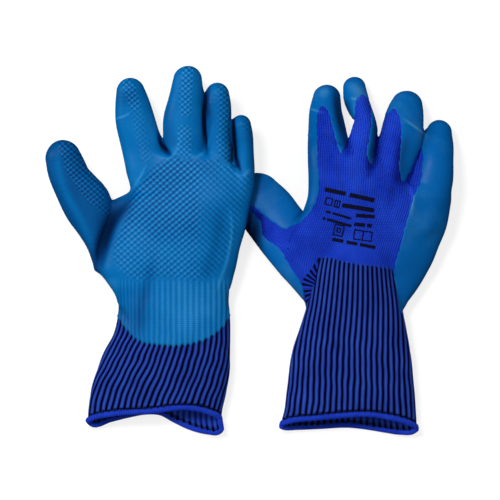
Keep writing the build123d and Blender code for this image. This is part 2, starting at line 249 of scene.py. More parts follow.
def tube_field(x, y, z, path, bulge=NO_BULGE):
    """Distance from the surface of an elliptical tube with a round tip along path rows of x, y, z, a, b."""
    best = 1e3
    for p, q in zip(path[:-1], path[1:]):
        axis = q[:3] - p[:3]
        length = np.linalg.norm(axis)
        n = axis / length
        side = np.cross(n, (0, 0, 1.0))
        side /= np.linalg.norm(side)
        up = np.cross(side, n)
        dx, dy, dz = x - p[0], y - p[1], z - p[2]
        t = (dx * n[0] + dy * n[1] + dz * n[2]) / length
        tc = np.clip(t, 0, 1)
        over = (t - tc) * length
        a = p[3] + (q[3] - p[3]) * tc
        b = p[4] + (q[4] - p[4]) * tc
        s = dx * side[0] + dy * side[1]
        u = dx * up[0] + dy * up[1] + dz * up[2]
        if bulge is not NO_BULGE:
            more, top = (np.where(s < 0, lo, hi) for lo, hi in zip(*bulge))
            a = a + ramp(-u, 0.0, 0.4 * b) * more * ramp(top - y, 0.0, 8.0)
        rho = np.sqrt((s / a) ** 2 + (u / b) ** 2 + (over / a) ** 2)
        best = np.minimum(best, np.sqrt(s * s + u * u + over * over) * (1 - 1 / np.maximum(rho, 1e-4)))
    return best


def digit_path(side, name, count=26):
    return along_points(DIGITS[side][name], count)


def glove_field(side, x, y, z):
    """The glove's outer knit surface as a field that is zero on it. x, y, z are open grids."""
    hand = body_field(x, y, z, PALM[side])
    end = through(WEB[side], x[:, 0, 0])[:, 0][:, None, None]
    hand = smax(hand, y - end, 12.0)
    if side == "right":
        hand = smin(hand, smax(body_field(x, y, z, CUFF[side]) + 0.25, y - 16, 8.0), 4.0)
    out = hand
    for name in FINGERS:
        path = digit_path(side, name)
        low = path[:, :3].min(0) - path[:, 3].max() - 12
        high = path[:, :3].max(0) + path[:, 3].max() + 12
        box = tuple(
            slice(*np.searchsorted(g.ravel(), (lo, hi))) for g, lo, hi in zip((x, y, z), low, high)
        )
        xs, ys, zs = x[box[0]], y[:, box[1]], z[:, :, box[2]]
        tube = tube_field(xs, ys, zs, path, BULGE[side].get(name, NO_BULGE))
        out[box] = np.minimum(out[box], smin(hand[box], tube, FILLET[name]))
    return out + SHRINK * ramp(y, -42, -12)


def surface_nets(f, low, step):
    """Vertices and quads of the surface f = 0 on a grid, facing the side where f is positive."""
    f = f.astype(np.float32)
    cells = tuple(n - 1 for n in f.shape)
    total = np.zeros(cells + (3,), np.float32)
    count = np.zeros(cells, np.float32)
    edges = []
    for axis in range(3):
        a = [slice(None)] * 3
        b = [slice(None)] * 3
        a[axis], b[axis] = slice(0, -1), slice(1, None)
        fa, fb = f[tuple(a)], f[tuple(b)]
        i, j, k = np.nonzero((fa < 0) != (fb < 0))
        va, vb = fa[i, j, k], fb[i, j, k]
        point = np.stack([i, j, k], 1).astype(np.float32)
        point[:, axis] += va / (va - vb)
        edges.append((axis, i, j, k, va < 0))
        o1, o2 = [n for n in range(3) if n != axis]
        for d1 in (0, 1):
            for d2 in (0, 1):
                cell = [i, j, k]
                cell[o1] = cell[o1] - d1
                cell[o2] = cell[o2] - d2
                keep = (cell[o1] >= 0) & (cell[o2] >= 0) & (cell[o1] < cells[o1]) & (cell[o2] < cells[o2])
                where = tuple(c[keep] for c in cell)
                np.add.at(total, where, point[keep])
                np.add.at(count, where, 1)
    used = count > 0
    index = np.full(cells, -1, np.int64)
    index[used] = np.arange(used.sum())
    verts = total[used] / count[used][:, None] * step + low
    quads = []
    for axis, i, j, k, inside in edges:
        o1, o2 = (axis + 1) % 3, (axis + 2) % 3
        base = [i, j, k]
        ok = (base[o1] > 0) & (base[o2] > 0) & (base[o1] < cells[o1]) & (base[o2] < cells[o2])
        ring = []
        for d1, d2 in ((1, 1), (0, 1), (0, 0), (1, 0)):
            cell = [c[ok] for c in base]
            cell[o1] = cell[o1] - d1
            cell[o2] = cell[o2] - d2
            ring.append(index[tuple(cell)])
        quad = np.stack(ring, 1)
        flip = ~inside[ok]
        quad[flip] = quad[flip][:, ::-1]
        quads.append(quad)
    quads = np.vstack(quads)
    return verts.astype(float), quads[(quads >= 0).all(1)]


def sample(f, low, step, points):
    """Trilinear value and gradient of f at points."""
    g = (points - low) / step
    i = np.clip(np.floor(g).astype(int), 0, np.array(f.shape) - 2)
    t = g - i
    c = {}
    for dx in (0, 1):
        for dy in (0, 1):
            for dz in (0, 1):
                c[dx, dy, dz] = f[i[:, 0] + dx, i[:, 1] + dy, i[:, 2] + dz]
    tx, ty, tz = t.T

    def mix(values, u):
        return values[0] * (1 - u) + values[1] * u

    def plane(dx):
        return mix([mix([c[dx, 0, 0], c[dx, 0, 1]], tz), mix([c[dx, 1, 0], c[dx, 1, 1]], tz)], ty)

    value = mix([plane(0), plane(1)], tx)
    gx = plane(1) - plane(0)
    gy = mix([mix([c[d, 1, 0], c[d, 1, 1]], tz) - mix([c[d, 0, 0], c[d, 0, 1]], tz) for d in (0, 1)], tx)
    gz = mix([mix([c[d, 0, 1] - c[d, 0, 0], c[d, 1, 1] - c[d, 1, 0]], ty) for d in (0, 1)], tx)
    return value, np.stack([gx, gy, gz], 1) / step


def corner_normals(verts, quads):
    """Smooth vertex normals, weighted by area."""
    a, b, c, d = (verts[quads[:, n]] for n in range(4))
    face = np.cross(c - a, d - b)
    out = np.zeros_like(verts)
    for n in range(4):
        np.add.at(out, quads[:, n], face)
    return out / np.maximum(np.linalg.norm(out, axis=1, keepdims=True), 1e-9)


def skin(side):
    """The glove's outer knit surface: vertices, quads and normals, in layout millimetres."""
    table = np.vstack([np.array(rows)[:, :3] for rows in DIGITS[side].values()])
    palm = np.array(PALM[side])
    low = np.array([min(table[:, 0].min() - 26, palm[:, 1].min() - 4), -92.0, -3.0])
    high = np.array([max(table[:, 0].max() + 26, palm[:, 2].max() + 4), table[:, 1].max() + 18, 60.0])
    x, y, z = (np.arange(lo, hi, STEP) for lo, hi in zip(low, high))
    f = glove_field(side, x[:, None, None], y[None, :, None], z[None, None, :])
    verts, quads = surface_nets(f, low, STEP)
    for _ in range(2):
        value, grad = sample(f, low, STEP, verts)
        verts -= (value / np.maximum((grad**2).sum(1), 0.05))[:, None] * grad
    return verts, quads, corner_normals(verts, quads)


def outline_depth(points, outline):
    """How far inside a closed smooth outline each point lies; negative outside."""
    ring = np.array(outline + outline[:1], float)
    path = along_points(np.column_stack([ring, np.zeros(len(ring))]), 6 * len(ring))[:, :2]
    best = np.full(len(points), 1e9)
    wind = np.zeros(len(points), bool)
    for p, q in zip(path[:-1], path[1:]):
        e = q - p
        t = np.clip(((points - p) @ e) / max(e @ e, 1e-9), 0, 1)
        gap = points - p - t[:, None] * e
        best = np.minimum(best, (gap**2).sum(1))
        crosses = (p[1] > points[:, 1]) != (q[1] > points[:, 1])
        if abs(e[1]) > 1e-9:
            wind ^= crosses & (points[:, 0] < p[0] + e[0] * (points[:, 1] - p[1]) / e[1])
    return np.where(wind, 1, -1) * np.sqrt(best)


# ---- Relief ----
# Edge of the grip pattern on the left palm: (x, y)
GRIP_EDGE = (
    (-98.8, 48.6), (-90.5, 58.5), (-81.3, 69.3), (-70.6, 76), (-58, 80), (-45.7, 76), (-35.7, 76), (-23, 80),
    (-14.9, 73.5), (-5.8, 63.5), (1.7, 64), (1.7, 48.6), (-4.2, 27.8), (-10, 7), (-18.3, -11.2), (-29, -25),
    (-74.7, -27), (-96, -29), (-108, -21), (-116.5, -8), (-116.5, 4), (-109.6, 17), (-105, 29),
)
# Strips of the same pattern on the digits: (x, y) to (x, y), half width, strength
GRIP_STRIPS = (
    (-101, 136, -95, 119, 5.5, 1.0), (-93, 112, -86, 76, 5.5, 0.45), (-51, 148, -53.5, 114, 5.5, 1.0),
    (-54, 96, -54, 78, 6.5, 0.9), (-21.5, 131, -21.5, 92, 5.2, 0.9), (-22, 92, -20, 72, 6.0, 0.9),
    (-1.8, 106, -1.2, 99, 4.0, 0.7), (-151.5, 85, -145, 68, 7.5, 1.0), (-145, 68, -128, 44, 8.5, 1.0),
    (-124, 36, -119, 31, 4.5, 0.7),
)
# Folds and creases: line in plan, half width, height (negative is a valley), tint: painted shade where negative,
# in valleys, creases, between digits and on flanks turned from the light, painted highlight where positive,
# along ridges and lit flanks
FOLDS = {
    "left": (
        (((-97, 47), (-105, 34.5), (-114, 22), (-120.5, 7), (-126.4, -14), (-129, -26)), 4.8, -2.4, -1.1),
        (((-99, 43), (-107, 31), (-115, 20), (-120, 5), (-125, -12)), 6.5, 0.0, -0.65),
        (((-159, 84), (-157.5, 62), (-150, 42), (-139, 22), (-131, 2)), 3.2, 0.0, 0.5),
        (((-79, -6), (-84, -26), (-88.5, -44), (-92, -74)), 4.8, -0.3, -0.55),
        (((-101, 45), (-93, 55), (-85.5, 69.3)), 1.1, 0.35, 0.5),
        (((-112, 107.5), (-106, 108.5), (-99, 112)), 0.9, 0.3, 0.7),
        (((-107, 118), (-103, 124), (-93, 128)), 7.0, 0.0, -0.4),
        (((-66, 120), (-67.5, 104), (-63, 84)), 3.6, 0.0, -0.55),
        (((-33.5, 136), (-35.5, 124), (-35.5, 108)), 2.4, 0.0, -1.2),
        (((-16, 33), (-15, 12), (-19, -10), (-27, -34)), 1.5, 0.5, 0.6),
        (((-24, 36), (-25, 12), (-31, -10), (-37, -30)), 5.0, -0.7, -0.3),
        (((-75.5, 96), (-72.8, 86), (-65.5, 77)), 1.9, -1.4, -2.0),
        (((-72, 100), (-67.5, 82)), 3.6, 0.0, -0.45),
        (((-79, 77.5), (-67.5, 74.6), (-60.5, 81.5), (-56, 94)), 1.5, 0.6, 0.45),
        (((-37.4, 132), (-37.8, 104), (-35.2, 78)), 1.7, -1.2, -2.6),
        (((-33.2, 124), (-32.5, 84)), 3.2, 0.0, -0.5),
        (((-51, 79.5), (-44, 75.6), (-38.5, 79), (-33, 90), (-30.5, 100)), 1.5, 0.6, 0.4),
        (((-14.2, 114), (-13.2, 90), (-11, 72), (-7, 62)), 1.8, -1.2, -2.8),
        (((-11, 61), (-5, 60.4), (0, 65)), 1.4, 0.5, 0.4),
        (((-118, -46), (-108, -50), (-100, -62)), 2.6, -0.8, -0.4),
    ),
    "right": (
        (((49, 116), (56, 113.5), (62, 112)), 1.1, 0.45, 0.5),
        (((70.5, 136), (72.8, 113), (76.5, 95), (80, 80)), 3.8, 0.0, -1.7),
        (((80, 124), (83, 108)), 2.6, 0.0, -1.1),
        (((105, 108), (102.5, 86), (98, 62)), 3.6, 0.0, -1.5),
        (((130, 96), (124, 72), (122, 50)), 5.0, 0.0, -0.9),
        (((-4, 66), (6, 58), (14, 46)), 7.0, 0.0, -0.4),
        (((57, 128), (66, 130)), 4.0, 0.0, 0.35),
        (((82, 136), (90, 130), (94, 122)), 4.0, 0.0, 0.35),
        (((46, 95), (51, 93)), 1.6, 0.4, 0.35),
        (((50, 34), (49, 80), (56, 122)), 12.0, 0.0, -0.28),
        (((84, 124), (90, 123)), 1.1, 0.35, 0.5),
        (((127, 107), (134, 102), (146, 93)), 1.1, 0.45, 0.55),
        (((132, 52), (134, 40), (133, 26)), 1.6, 0.5, 0.4),
        (((62, 52), (66, 66), (68, 84)), 3.6, -1.2, 0.0),
        (((98, 62), (96, 50), (94, 40)), 4.2, -1.5, 0.0),
        (((122, 62), (119, 48), (116, 30)), 4.0, -1.4, 0.0),
        (((36, 22), (44, 30), (53, 36)), 2.2, -0.9, -0.3),
    ),
}
GRIP_ANGLES = (40.0, -43.0)


def cut_distance(points, a, b):
    """Distance in plan from each point to the segment from a to b, and the share along it."""
    a, b = np.array(a, float), np.array(b, float)
    e = b - a
    t = np.clip(((points[:, :2] - a) @ e) / max(e @ e, 1e-9), 0, 1)
    return np.linalg.norm(points[:, :2] - a - t[:, None] * e, axis=1), t


def fold_weight(points, line, width):
    """1 on a smooth line in plan, falling off to both sides and towards its two ends."""
    path = along_points([(x, y, 0) for x, y in line], 20)[:, :2]
    best = np.full(len(points), 1e3)
    share = np.zeros(len(points))
    for i, (a, b) in enumerate(zip(path[:-1], path[1:])):
        gap, t = cut_distance(points, a, b)
        near = gap < best
        best[near] = gap[near]
        share[near] = ((i + t) / (len(path) - 1))[near]
    return np.exp(-((best / width) ** 2)) * np.clip(np.sin(np.pi * np.clip(share, 0.02, 0.98)), 0, 1) ** 0.5


def superellipse_angle(across, up):
    """Angle whose point on the section lies at across and up, as shares of its half width and half height."""
    return np.arctan2(signed_power(up, ARC_POWER), signed_power(across, ARC_POWER))


def section_angle(side, points):
    """Angle round the cuff of each point, 0 at +X and 90 degrees on top, on its superellipse."""
    across, up, w, half = in_section(CUFF[side], *points.T)
    return superellipse_angle(across / w, up / half)


def arc_table():
    """Angles round the cuff section and the share of its girth up to each."""
    angle = np.linspace(-np.pi, np.pi, 2001)
    x = 50 * signed_power(np.cos(angle), 1 / ARC_POWER)  # half width and half height of a usual section
    z = 13 * signed_power(np.sin(angle), 1 / ARC_POWER)
    run = np.r_[0, np.cumsum(np.hypot(np.diff(x), np.diff(z)))]
    return angle, run / run[-1]


ARC_ANGLE, ARC_SHARE = arc_table()


def coat_low(x):
    """Height of the coating's lower edge on the left glove."""
    edge = np.array(COAT_EDGE)
    return np.interp(x, edge[:, 0], edge[:, 1], left=-48, right=-46)


def rib_phase(side, points):
    angle = section_angle(side, points)
    if side == "left":
        # Above the coating's edge the ribs run straight on instead of following the wrist's outline.
        left, right = through(CUFF[side], np.minimum(points[:, 1], coat_low(points[:, 0])))[:, :2].T
        across = np.clip((2 * points[:, 0] - left - right) / (right - left), -0.9999, 0.9999)
        up = np.sign(np.sin(angle)) * (1 - np.abs(across) ** SECTION_POWER) ** (1 / SECTION_POWER)
        straight = superellipse_angle(across, up)
        angle = angle + (straight - angle) * ramp(points[:, 1] - coat_low(points[:, 0]), -3, 3)
    return RIBS * np.interp(angle, ARC_ANGLE, ARC_SHARE)


def rib_wander(side, x, y):
    """How far a rib strays sideways, in ribs."""
    stray = 0.07 * np.sin(y / 8.5 + 2.9 * np.sin(x / 13.0)) + 0.04 * np.sin(y / 3.1 + x / 5.0)
    stray = stray * ramp(-y, 60, 80)
    if side == "left":
        kink = 0.07 * np.sin((y + 86 + 5 * np.sin(x / 11.0)) / 2.6) * np.exp(-(((y + 90) / 7.0) ** 2))
        return stray + kink - 1.7 * ramp(-y, 80, 134)
    return stray


def uneven(x, y):
    """Broad unevenness of a hand-filled glove."""
    broad = 0.28 * np.sin(x / 9.1 + 1.7 * np.sin(y / 17.0)) * np.sin(y / 11.3 + 0.9)
    return broad + 0.2 * np.sin(x / 5.3 + y / 7.1)


def own_thumb(points):
    """1 on the left glove's thumb, falling to 0 at the fold that parts it from the palm."""
    x, y = points[:, 0], points[:, 1]
    fold = np.interp(y, (-14, 5, 21, 31, 41, 60), (-124, -120.5, -115, -108, -104, -112))
    return ramp(fold - x, -1.0, 9.0)


def relief(side, points, normals):
    """Height of the coating's relief and the values its material reads, at each point."""
    x, y = points[:, 0], points[:, 1]
    phase = np.stack([-x * math.sin(math.radians(a)) + y * math.cos(math.radians(a)) for a in GRIP_ANGLES], 1)
    on_digit = np.zeros(len(points), bool)
    height = np.zeros(len(points))
    tint = np.zeros(len(points))
    mask = np.zeros((len(points), 3))
    lines = np.zeros(len(points))
    if side == "left":
        up = ramp(normals[:, 2], 0.05, 0.5)
        palm = ramp(outline_depth(points[:, :2], GRIP_EDGE), -1.0, 7.0)
        dots = np.exp(-(((x + 58) / 26) ** 2) - ((y - 62) / 17) ** 2)
        right_half = ramp(x, -47, -36) * (1 - 0.8 * dots)
        first = palm * (1 - 0.68 * right_half)
        second = palm * np.clip(0.72 + 0.23 * right_half + 0.28 * dots, 0, 1)
        on_palm, seam = np.maximum(first, second), np.ones(len(points))
        for x0, y0, x1, y1, reach, strength in GRIP_STRIPS:
            gap, _ = cut_distance(points, (x0, y0), (x1, y1))
            strip = strength * ramp(-gap, -reach - 1.5, -reach + 2.0)
            both = np.minimum(strip, on_palm) > 0
            seam = np.minimum(seam, np.where(both, ramp(np.abs(strip - on_palm), 0.0, 0.3), 1.0))
            on_digit |= strip > on_palm
            first, second = np.maximum(first, strip), np.maximum(second, strip)
        mask[:, 0], mask[:, 1] = first * up * seam, second * up * seam
        # lines marks where the material paints shade into the grooves of the first family of ridges.
        lines = palm * (1 - right_half) * ramp(y, -4, 24) * up * seam * ~on_digit
    phase /= np.where(on_digit, LATTICE[1], LATTICE[0])[:, None]
    if side == "left":
        wave = 0.5 + 0.5 * np.cos(2 * np.pi * phase)
        height += 0.20 * (wave * mask[:, :2]).sum(1) - 0.12 * mask[:, :2].sum(1)
    ribs = ramp(-y, 22, 31) if side == "left" else ramp(-y, 14, 24) * ramp(-normals[:, 2], -0.1, 0.3)
    turn = rib_phase(side, points) + rib_wander(side, x, y)
    mask[:, 2] = ribs
    height += ribs * (0.32 + 0.2 * np.cos(2 * np.pi * turn))
    # Each fold paints its tint along its line: painted shade where negative, painted highlight where positive.
    for line, width, rise, painted_light in FOLDS[side]:
        weight = fold_weight(points, line, width) * ramp(normals[:, 2], -0.2, 0.3)
        height += rise * weight
        tint += painted_light * weight
    height += uneven(x, y)
    if side == "left":
        # Pressed in a little underneath, where the right glove's thumb swings past.
        height -= 0.5 * np.exp(-(((x + 3.5) / 6) ** 2) - ((y - 44) / 9) ** 2) * ramp(-normals[:, 2], -0.5, 0.1)
        # Painted shade: the thumb darker all over, and the tops of the ring and little fingers, the little
        # finger and the heel below the thumb a little darker.
        tint += -0.75 * own_thumb(points) - 0.12 * ramp(x, -42, -36) * ramp(y, 80, 92)
        tint -= 0.35 * ramp(-x, 70, 100) * ramp(-y, 22, 40) + 0.14 * ramp(x, -18, -10) * ramp(y, 62, 70)
    else:
        # Painted shadow of the left glove on the right thumb's upper faces, and a near-black painted shadow
        # where the thumb runs under the left glove's edge.
        tint -= 0.8 * ramp(-x, -24, 2) * ramp(-y, -34, -10) * (normals[:, 2] > -0.3)
        tint -= 1.3 * ramp(-x, -14, -4) * ramp(-y, -35, -27)
    values = np.column_stack([phase, turn])
    fine_rows = ribs if side == "left" else 0 * ribs
    return height, values, mask, np.column_stack([tint, lines, fine_rows])


def coat_depth(side, points, normals):
    """How far inside the coating's outline each point lies; negative on the bare knit."""
    x, y, facing = points[:, 0], points[:, 1], normals[:, 2]
    if side == "left":
        # The left glove's own back is underneath, its outline as long and as wide as the right one's.
        bare = outline_depth(points[:, :2] + (157.0, 0), KNIT_BACK)
        down = np.maximum(-bare, 7 * (facing + 0.35))
        turn = rib_phase(side, points) + rib_wander(side, x, y)
        low = coat_low(x) - 1.1 * np.cos(2 * np.pi * turn)
        return np.minimum(y - low, down)
    bare = outline_depth(points[:, :2], KNIT_BACK)
    wobble = 0.25 * np.sin(y / 1.1) + 0.2 * np.sin(y / 2.3 + x)
    low = coat_low((x - 86) / 0.9 - 63)
    return np.minimum(y - low, np.maximum(-bare + wobble, 7 * (-facing - 0.3)))


def knit_grid(side, points):
    """Place of each point on the plain knit: across and along its columns, in millimetres."""
    x, y = points[:, 0], points[:, 1]
    left, right = through(PALM[side], y)[:, :2].T
    across = x - 0.5 * (left + right)
    along = y.copy()
    total = np.ones(len(points))
    sum_a, sum_l = across.copy(), along.copy()
    for name in FINGERS:
        path = digit_path(side, name, 12)
        gap = tube_field(x, y, points[:, 2], path)
        best = np.full(len(points), 1e3)
        a_near, l_near = np.zeros(len(points)), np.zeros(len(points))
        run = 0.0
        for p, q in zip(path[:-1], path[1:]):
            e = q[:2] - p[:2]
            length = np.hypot(*e)
            n = e / length
            out = points[:, :2] - p[:2]
            t = out @ n
            off = out - np.clip(t, 0, length)[:, None] * n
            d = np.hypot(off[:, 0], off[:, 1])
            near = d < best
            best[near] = d[near]
            a_near[near] = (out @ np.array([n[1], -n[0]]))[near]
            l_near[near] = (run + t)[near]
            run += length
        start = path[4]
        base_l, base_r = through(PALM[side], start[1:2])[0, :2]
        shift_a = start[0] - 0.5 * (base_l + base_r)
        root = np.linalg.norm(np.diff(path[:5, :2], axis=0), axis=1).sum()  # inside the hand
        weight = 30 * ramp(-gap, -1.6, 0.4) * ramp(l_near, root * 0.3, root * 1.6)
        sum_a += weight * (a_near + shift_a)
        sum_l += weight * (l_near - root + start[1])
        total += weight
    return sum_a / total, sum_l / total


# ---- Materials ----
def tone(r, g, b):
    """Linear colour from the 0 to 255 values it shows."""
    shares = (c / 255 for c in (r, g, b))
    return tuple(c / 12.92 if c <= 10 / 255 else ((c + 0.055) / 1.055) ** 2.4 for c in shares) + (1.0,)


class Term:
    """One value in a shader, which adds and multiplies as a number does."""

    def __init__(self, shader, socket):
        self.shader, self.socket = shader, socket

    def math(self, op, *others, clamp=False):
        return self.shader.math(op, self, *others, clamp=clamp)

    def __add__(self, other):
        return self.math("ADD", other)

    def __sub__(self, other):
        return self.math("SUBTRACT", other)

    def __rsub__(self, other):
        return self.shader.math("SUBTRACT", other, self)

    def __mul__(self, other):
        return self.math("MULTIPLY", other)

    def __truediv__(self, other):
        return self.math("DIVIDE", other)

    def __pow__(self, power):
        return self.math("POWER", power)

    def __neg__(self):
        return self * -1.0

    def clamped(self):
        """The same value, kept between 0 and 1."""
        return self.math("MULTIPLY", 1.0, clamp=True)


class Shader:
    """Short hand for building one material's nodes."""

    def __init__(self, name, **sockets):
        self.mat = bpy.data.materials.new(name)
        self.mat.use_nodes = True
        self.tree = self.mat.node_tree
        self.bsdf = self.tree.nodes["Principled BSDF"]
        for key, value in sockets.items():
            self.bsdf.inputs[key.replace("_", " ")].default_value = value

    def node(self, kind, **settings):
        made = self.tree.nodes.new(kind)
        for key, value in settings.items():
            setattr(made, key, value)
        return made

    def put(self, socket, value):
        if isinstance(value, Term):
            self.tree.links.new(value.socket, socket)
        else:
            socket.default_value = value

    def math(self, op, *values, clamp=False):
        made = self.node("ShaderNodeMath", operation=op, use_clamp=clamp)
        for socket, value in zip(made.inputs, values):
            self.put(socket, value)
        return Term(self, made.outputs[0])

    def mix(self, share, a, b):
        made = self.node("ShaderNodeMix", data_type="RGBA")
        for place, value in ((0, share), (6, a), (7, b)):
            self.put(made.inputs[place], value)
        return Term(self, made.outputs[2])

    def read(self, name):
        """The three values of a vector attribute."""
        made = self.node("ShaderNodeAttribute", attribute_name=name)
        split = self.node("ShaderNodeSeparateXYZ")
        self.tree.links.new(made.outputs["Vector"], split.inputs[0])
        return [Term(self, socket) for socket in split.outputs]

    def noise(self, scale, detail=3.0):
        made = self.node("ShaderNodeTexNoise")
        for key, value in (("Scale", scale), ("Detail", detail), ("Roughness", 0.55)):
            made.inputs[key].default_value = value
        self.tree.links.new(self.node("ShaderNodeTexCoord").outputs["Object"], made.inputs["Vector"])
        return Term(self, made.outputs["Fac"])

    def finish(self, colour, height=None, depth=0.0002, strength=1.0, roughness=None):
        self.put(self.bsdf.inputs["Base Color"], colour)
        if roughness is not None:
            self.put(self.bsdf.inputs["Roughness"], roughness)
        if height is not None:
            bump = self.node("ShaderNodeBump")
            for key, value in (("Strength", strength), ("Distance", depth), ("Height", height)):
                self.put(bump.inputs[key], value)
            self.tree.links.new(bump.outputs[0], self.bsdf.inputs["Normal"])
        return self.mat


def crest(phase, power=1.0):
    """1 on whole values of phase, 0 half way between them."""
    wave = (phase * (2 * math.pi)).math("COSINE") * 0.5 + 0.5
    return wave if power == 1.0 else wave**power


def coating_material(name, deep, dark, plain, light):
    """Dipped latex, satin, with painted shade in the grooves of its grip pattern and painted highlight on the
    ridges.
    """
    sh = Shader(name, Specular_IOR_Level=0.055, Roughness=0.4)
    phase, mask, tint = sh.read("phase"), sh.read("mask"), sh.read("tint")
    first, second = crest(phase[0], 1.6) * mask[0], crest(phase[1], 1.6) * mask[1]
    ridge, covered = first.math("MAXIMUM", second), mask[0].math("MAXIMUM", mask[1])
    ribs = crest(phase[2]) * mask[2]
    fine, broad = sh.noise(900.0, 2.0), sh.noise(28.0, 4.0)
    groove = (1.0 - crest(phase[0])) ** 4.0
    rows = crest(sh.read("place")[1] * (1 / STITCH))
    # Painted light: the ridges, the dots where both families cross and the crests of the ribs under the film are
    # lighter (painted highlight); the lattice grooves, the grooves that lines marks and the folds' negative tint
    # are darker (painted shade), the darkest creases going to the deep tone.
    value = ridge * 0.6 - covered * 0.44 + first * second * 0.78 - groove * tint[1] * 0.7
    value += ribs * 0.42 + mask[2] * 0.05 + (rows - 1.0) * 0.2 * tint[2]
    value += (broad - 0.5) * 0.9 + (fine - 0.5) * 0.24 + tint[0]
    darker = sh.mix((-value).clamped(), plain, dark)
    darker = sh.mix((-value - 1.0).clamped(), darker, deep)
    colour = sh.mix(value.clamped(), darker, light)
    height = ridge + ribs * 0.35 + rows * tint[2] * 0.12 + fine * 0.12
    rough = (broad * 0.22 + 0.27).math("MAXIMUM", (-tint[0] - 0.4).clamped())
    return sh.finish(colour, height, 0.00028, 0.75, rough)


def knit_material(name, dark, plain, light):
    """Plain knit: columns of small V stitches."""
    sh = Shader(name, Specular_IOR_Level=0.06, Roughness=0.85)
    place, tint = sh.read("knit"), sh.read("tint")
    inside = ((place[0] / WALE).math("FRACT") - 0.5).math("ABSOLUTE")  # 0 mid column, 0.5 between two
    yarn = crest(place[1] / COURSE + inside * 1.5, 0.8)
    wall = (inside * 2.0).clamped()
    groove, centre = wall**3.0, (1.0 - wall) ** 5.0
    fine, broad = sh.noise(1400.0, 2.0), sh.noise(40.0)
    # Painted shade in the gaps between columns (groove) and down each column's middle (centre), plus the painted
    # shade and highlight of the folds (tint[0]).
    value = yarn * 0.62 - 0.12 - groove * 0.75 - centre * 0.25
    value += (broad - 0.5) * 0.8 + (fine - 0.5) * 0.4 + tint[0]
    darker = sh.mix((value * -1.6).clamped(), plain, dark)
    colour = sh.mix((value * 1.6).clamped(), darker, light)
    # Where the ribs run on past the cuff's fold, the grooves between them are black.
    ribbed = (tint[1] * (1.0 - crest(tint[2], 0.6))).clamped()
    colour = sh.mix((ribbed * 1.6).clamped(), colour, tone(3, 3, 14))
    return sh.finish(colour, yarn * 0.5 - (groove + centre * 0.4), 0.00035, 0.8)


def rib_material(name, groove_tone, plain, light):
    """Rib knit: raised blue ribs of small V stitches, with black yarn in the grooves."""
    sh = Shader(name, Specular_IOR_Level=0.03, Roughness=0.85)
    # Rib phase, millimetres along, and 1 where only the rib yarn shows to -1 where it is all black
    phase, along, only_blue = sh.read("ribs")
    raised = crest(phase)
    half = ((phase + 0.5).math("FRACT") - 0.5).math("ABSOLUTE")
    yarn = crest(along / STITCH + half * 3.2, 0.8)
    fine, broad = sh.noise(1500.0, 2.0), sh.noise(55.0)
    value = yarn * 1.4 - 0.62 + (broad - 0.5) * 0.9 + (fine - 0.5) * 0.6 + (raised * 0.9 - 0.55)
    edge = raised + yarn * 0.8 - 0.4
    shown = ((edge - 0.5) * 4.5 + only_blue * 5.0).clamped()
    colour = sh.mix(shown, groove_tone, sh.mix(value.clamped(), plain, light))
    return sh.finish(colour, yarn * 0.5 + raised * 0.8, 0.0004, 0.9)


def hem_material():
    """Overlocking yarn: soft turns, with a few black ones among the blue."""
    sh = Shader("hem_yarn", Specular_IOR_Level=0.08, Roughness=0.82)
    turns, round_tube, black = sh.read("ribs")
    yarn, strands = crest(turns, 0.7), crest(round_tube * 2.2)
    fine, broad = sh.noise(1500.0, 2.0), sh.noise(60.0)
    value = yarn * 0.8 - 0.45 + (strands - 0.5) * 0.3 + (broad - 0.5) * 0.9 + (fine - 0.5) * 0.5
    darker = sh.mix((-value).clamped(), tone(20, 52, 186), tone(8, 24, 112))
    colour = sh.mix(value.clamped(), darker, tone(46, 86, 214))
    colour = sh.mix(black.clamped(), colour, tone(3, 3, 12))
    return sh.finish(colour, strands * 0.3 + yarn, 0.0003, 0.8)


def plain_material(name, low, high, roughness, scale, spec=0.1):
    sh = Shader(name, Specular_IOR_Level=spec, Roughness=roughness)
    grain = sh.noise(scale, 4.0)
    return sh.finish(sh.mix((grain * 2.0 - 0.5).clamped(), low, high), grain, 0.0001, 0.5)


# Deep and dark tones of each coating: painted shade in grooves, creases and the gaps between digits, and the
# dark end of its own uneven tone. The last tone of each coating is its light end and its painted highlight.
DARKS_AND_PAINTED_SHADE = (tone(0, 12, 44), tone(0, 58, 114))
COAT_LEFT = coating_material("latex_left", *DARKS_AND_PAINTED_SHADE, tone(0, 99, 164), tone(48, 138, 198))
COAT_RIGHT = coating_material("latex_right", *DARKS_AND_PAINTED_SHADE, tone(0, 91, 162), tone(70, 140, 188))
KNIT = knit_material("plain_knit", tone(4, 18, 106), tone(14, 48, 178), tone(44, 88, 224))
RIB = rib_material("rib_knit", tone(0, 0, 6), tone(13, 31, 124), tone(52, 92, 208))
HEM = hem_material()
ELASTIC = plain_material("elastic_thread", tone(190, 190, 180), tone(220, 220, 212), 0.7, 900.0)
INK = plain_material("black_ink", tone(4, 4, 14), tone(14, 16, 44), 0.75, 1100.0, 0.05)


